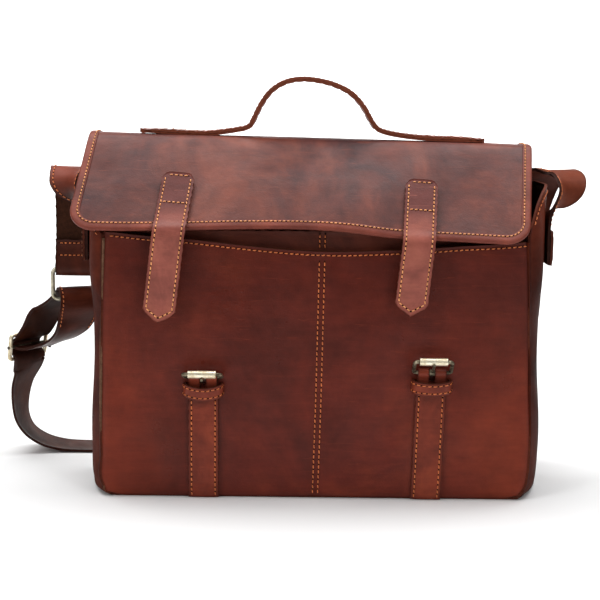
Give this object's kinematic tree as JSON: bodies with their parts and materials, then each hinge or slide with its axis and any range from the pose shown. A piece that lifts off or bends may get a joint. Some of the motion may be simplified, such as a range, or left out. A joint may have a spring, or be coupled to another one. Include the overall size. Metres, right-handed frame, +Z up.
{
  "type": "satchel bag",
  "caption": "Soft leather satchel with a sloping flap, closure straps over roller buckles, a front pocket, a top carrying handle and a wide shoulder strap on a ring.",
  "frame": {"origin": "on the floor at the middle of the base panel", "axes": "+Z up, +X towards the right side seen from the front, -Y towards the front; the bag is longest along X"},
  "size_m": [0.5402, 0.2122, 0.37],
  "materials": {
    "body_leather": "semi-gloss waxed pull-up leather, mottled dark red-brown",
    "binding_leather": "semi-gloss, redder brown",
    "closure_leather": "semi-gloss, warm red-brown",
    "buckle_strap_leather": "semi-gloss, red-brown",
    "handle_leather": "semi-gloss, dark brown",
    "shoulder_strap_leather": "semi-gloss grain side, matt flesh side, very dark brown",
    "lining_cloth": "matt woven cotton",
    "stiffening_board": "matt fibre board",
    "aged_brass": "polished antique brass, darkened in the corners"
  },
  "bodies": {
    "bag": {"back_panel": "body_leather", "front_panel": "body_leather", "front_pocket": "body_leather", "gusset_left": "body_leather", "gusset_right": "body_leather", "base_panel": "body_leather", "base_board": "stiffening_board", "lining": "lining_cloth", "top_strip": "body_leather", "lower_strap_left": "buckle_strap_leather", "lower_strap_right": "buckle_strap_leather", "chape_left": "buckle_strap_leather", "chape_right": "buckle_strap_leather", "keeper_left": "buckle_strap_leather", "keeper_right": "buckle_strap_leather", "handle_foot_left": "handle_leather", "handle_foot_right": "handle_leather", "anchor_strap_left": "shoulder_strap_leather", "anchor_strap_right": "shoulder_strap_leather", "anchor_patch_left": "shoulder_strap_leather", "anchor_patch_right": "shoulder_strap_leather"},
    "flap": {"flap": "body_leather", "flap_binding": "binding_leather", "closure_strap_left": "closure_leather", "closure_strap_right": "closure_leather"},
    "closure_tail_left": {"closure_tail_left": "closure_leather", "closure_tail_backing_left": "closure_leather"},
    "closure_tail_right": {"closure_tail_right": "closure_leather", "closure_tail_backing_right": "closure_leather"},
    "buckle_left": {"buckle_frame_left": "aged_brass"},
    "buckle_right": {"buckle_frame_right": "aged_brass"},
    "tongue_left": {"buckle_tongue_left": "aged_brass"},
    "tongue_right": {"buckle_tongue_right": "aged_brass"},
    "roller_left": {"buckle_roller_left": "aged_brass"},
    "roller_right": {"buckle_roller_right": "aged_brass"},
    "handle": {"handle_outer": "handle_leather", "handle_inner": "handle_leather"},
    "shoulder_strap": {"strap_ring": "aged_brass", "shoulder_strap": "shoulder_strap_leather", "slider_frame": "aged_brass", "slider_bar": "aged_brass"}
  },
  "joints": [
    {"name": "flap_fold", "type": "hinge", "parent": "bag", "child": "flap", "pos_m": [0, 0.01908, 0.31342], "axis": [-1, 0, 0], "range_deg": [0, 100]},
    {"name": "closure_tail_left_fold", "type": "hinge", "parent": "flap", "child": "closure_tail_left", "pos_m": [-0.126, -0.0436, 0.2545], "axis": [-1, 0, 0], "range_deg": [0, 100]},
    {"name": "closure_tail_right_fold", "type": "hinge", "parent": "flap", "child": "closure_tail_right", "pos_m": [0.089, -0.0436, 0.2545], "axis": [-1, 0, 0], "range_deg": [0, 100]},
    {"name": "buckle_left_swing", "type": "hinge", "parent": "bag", "child": "buckle_left", "pos_m": [-0.099, -0.0568, 0.111], "axis": [1, 0, 0], "range_deg": [-60, 0]},
    {"name": "buckle_right_swing", "type": "hinge", "parent": "bag", "child": "buckle_right", "pos_m": [0.101, -0.0568, 0.117], "axis": [1, 0, 0], "range_deg": [-38, 20]},
    {"name": "tongue_left_lift", "type": "hinge", "parent": "buckle_left", "child": "tongue_left", "pos_m": [-0.099, -0.0568, 0.111], "axis": [1, 0, 0], "range_deg": [0, 36]},
    {"name": "tongue_right_lift", "type": "hinge", "parent": "buckle_right", "child": "tongue_right", "pos_m": [0.101, -0.0568, 0.117], "axis": [1, 0, 0], "range_deg": [0, 42]},
    {"name": "roller_left_spin", "type": "hinge", "parent": "buckle_left", "child": "roller_left", "pos_m": [-0.099, -0.07392, 0.11656], "axis": [1, 0, 0], "continuous": true},
    {"name": "roller_right_spin", "type": "hinge", "parent": "buckle_right", "child": "roller_right", "pos_m": [0.101, -0.07018, 0.12904], "axis": [1, 0, 0], "continuous": true},
    {"name": "handle_flex", "type": "hinge", "parent": "bag", "child": "handle", "pos_m": [-0.005, 0.0355, 0.324], "axis": [1, 0, 0], "range_deg": [-20, 20], "stiffness_Nm_per_rad": 0.5},
    {"name": "shoulder_strap_swing", "type": "hinge", "parent": "bag", "child": "shoulder_strap", "pos_m": [0, 0.058, 0.1895], "axis": [1, 0, 0], "range_deg": [0, 90]}
  ]
}
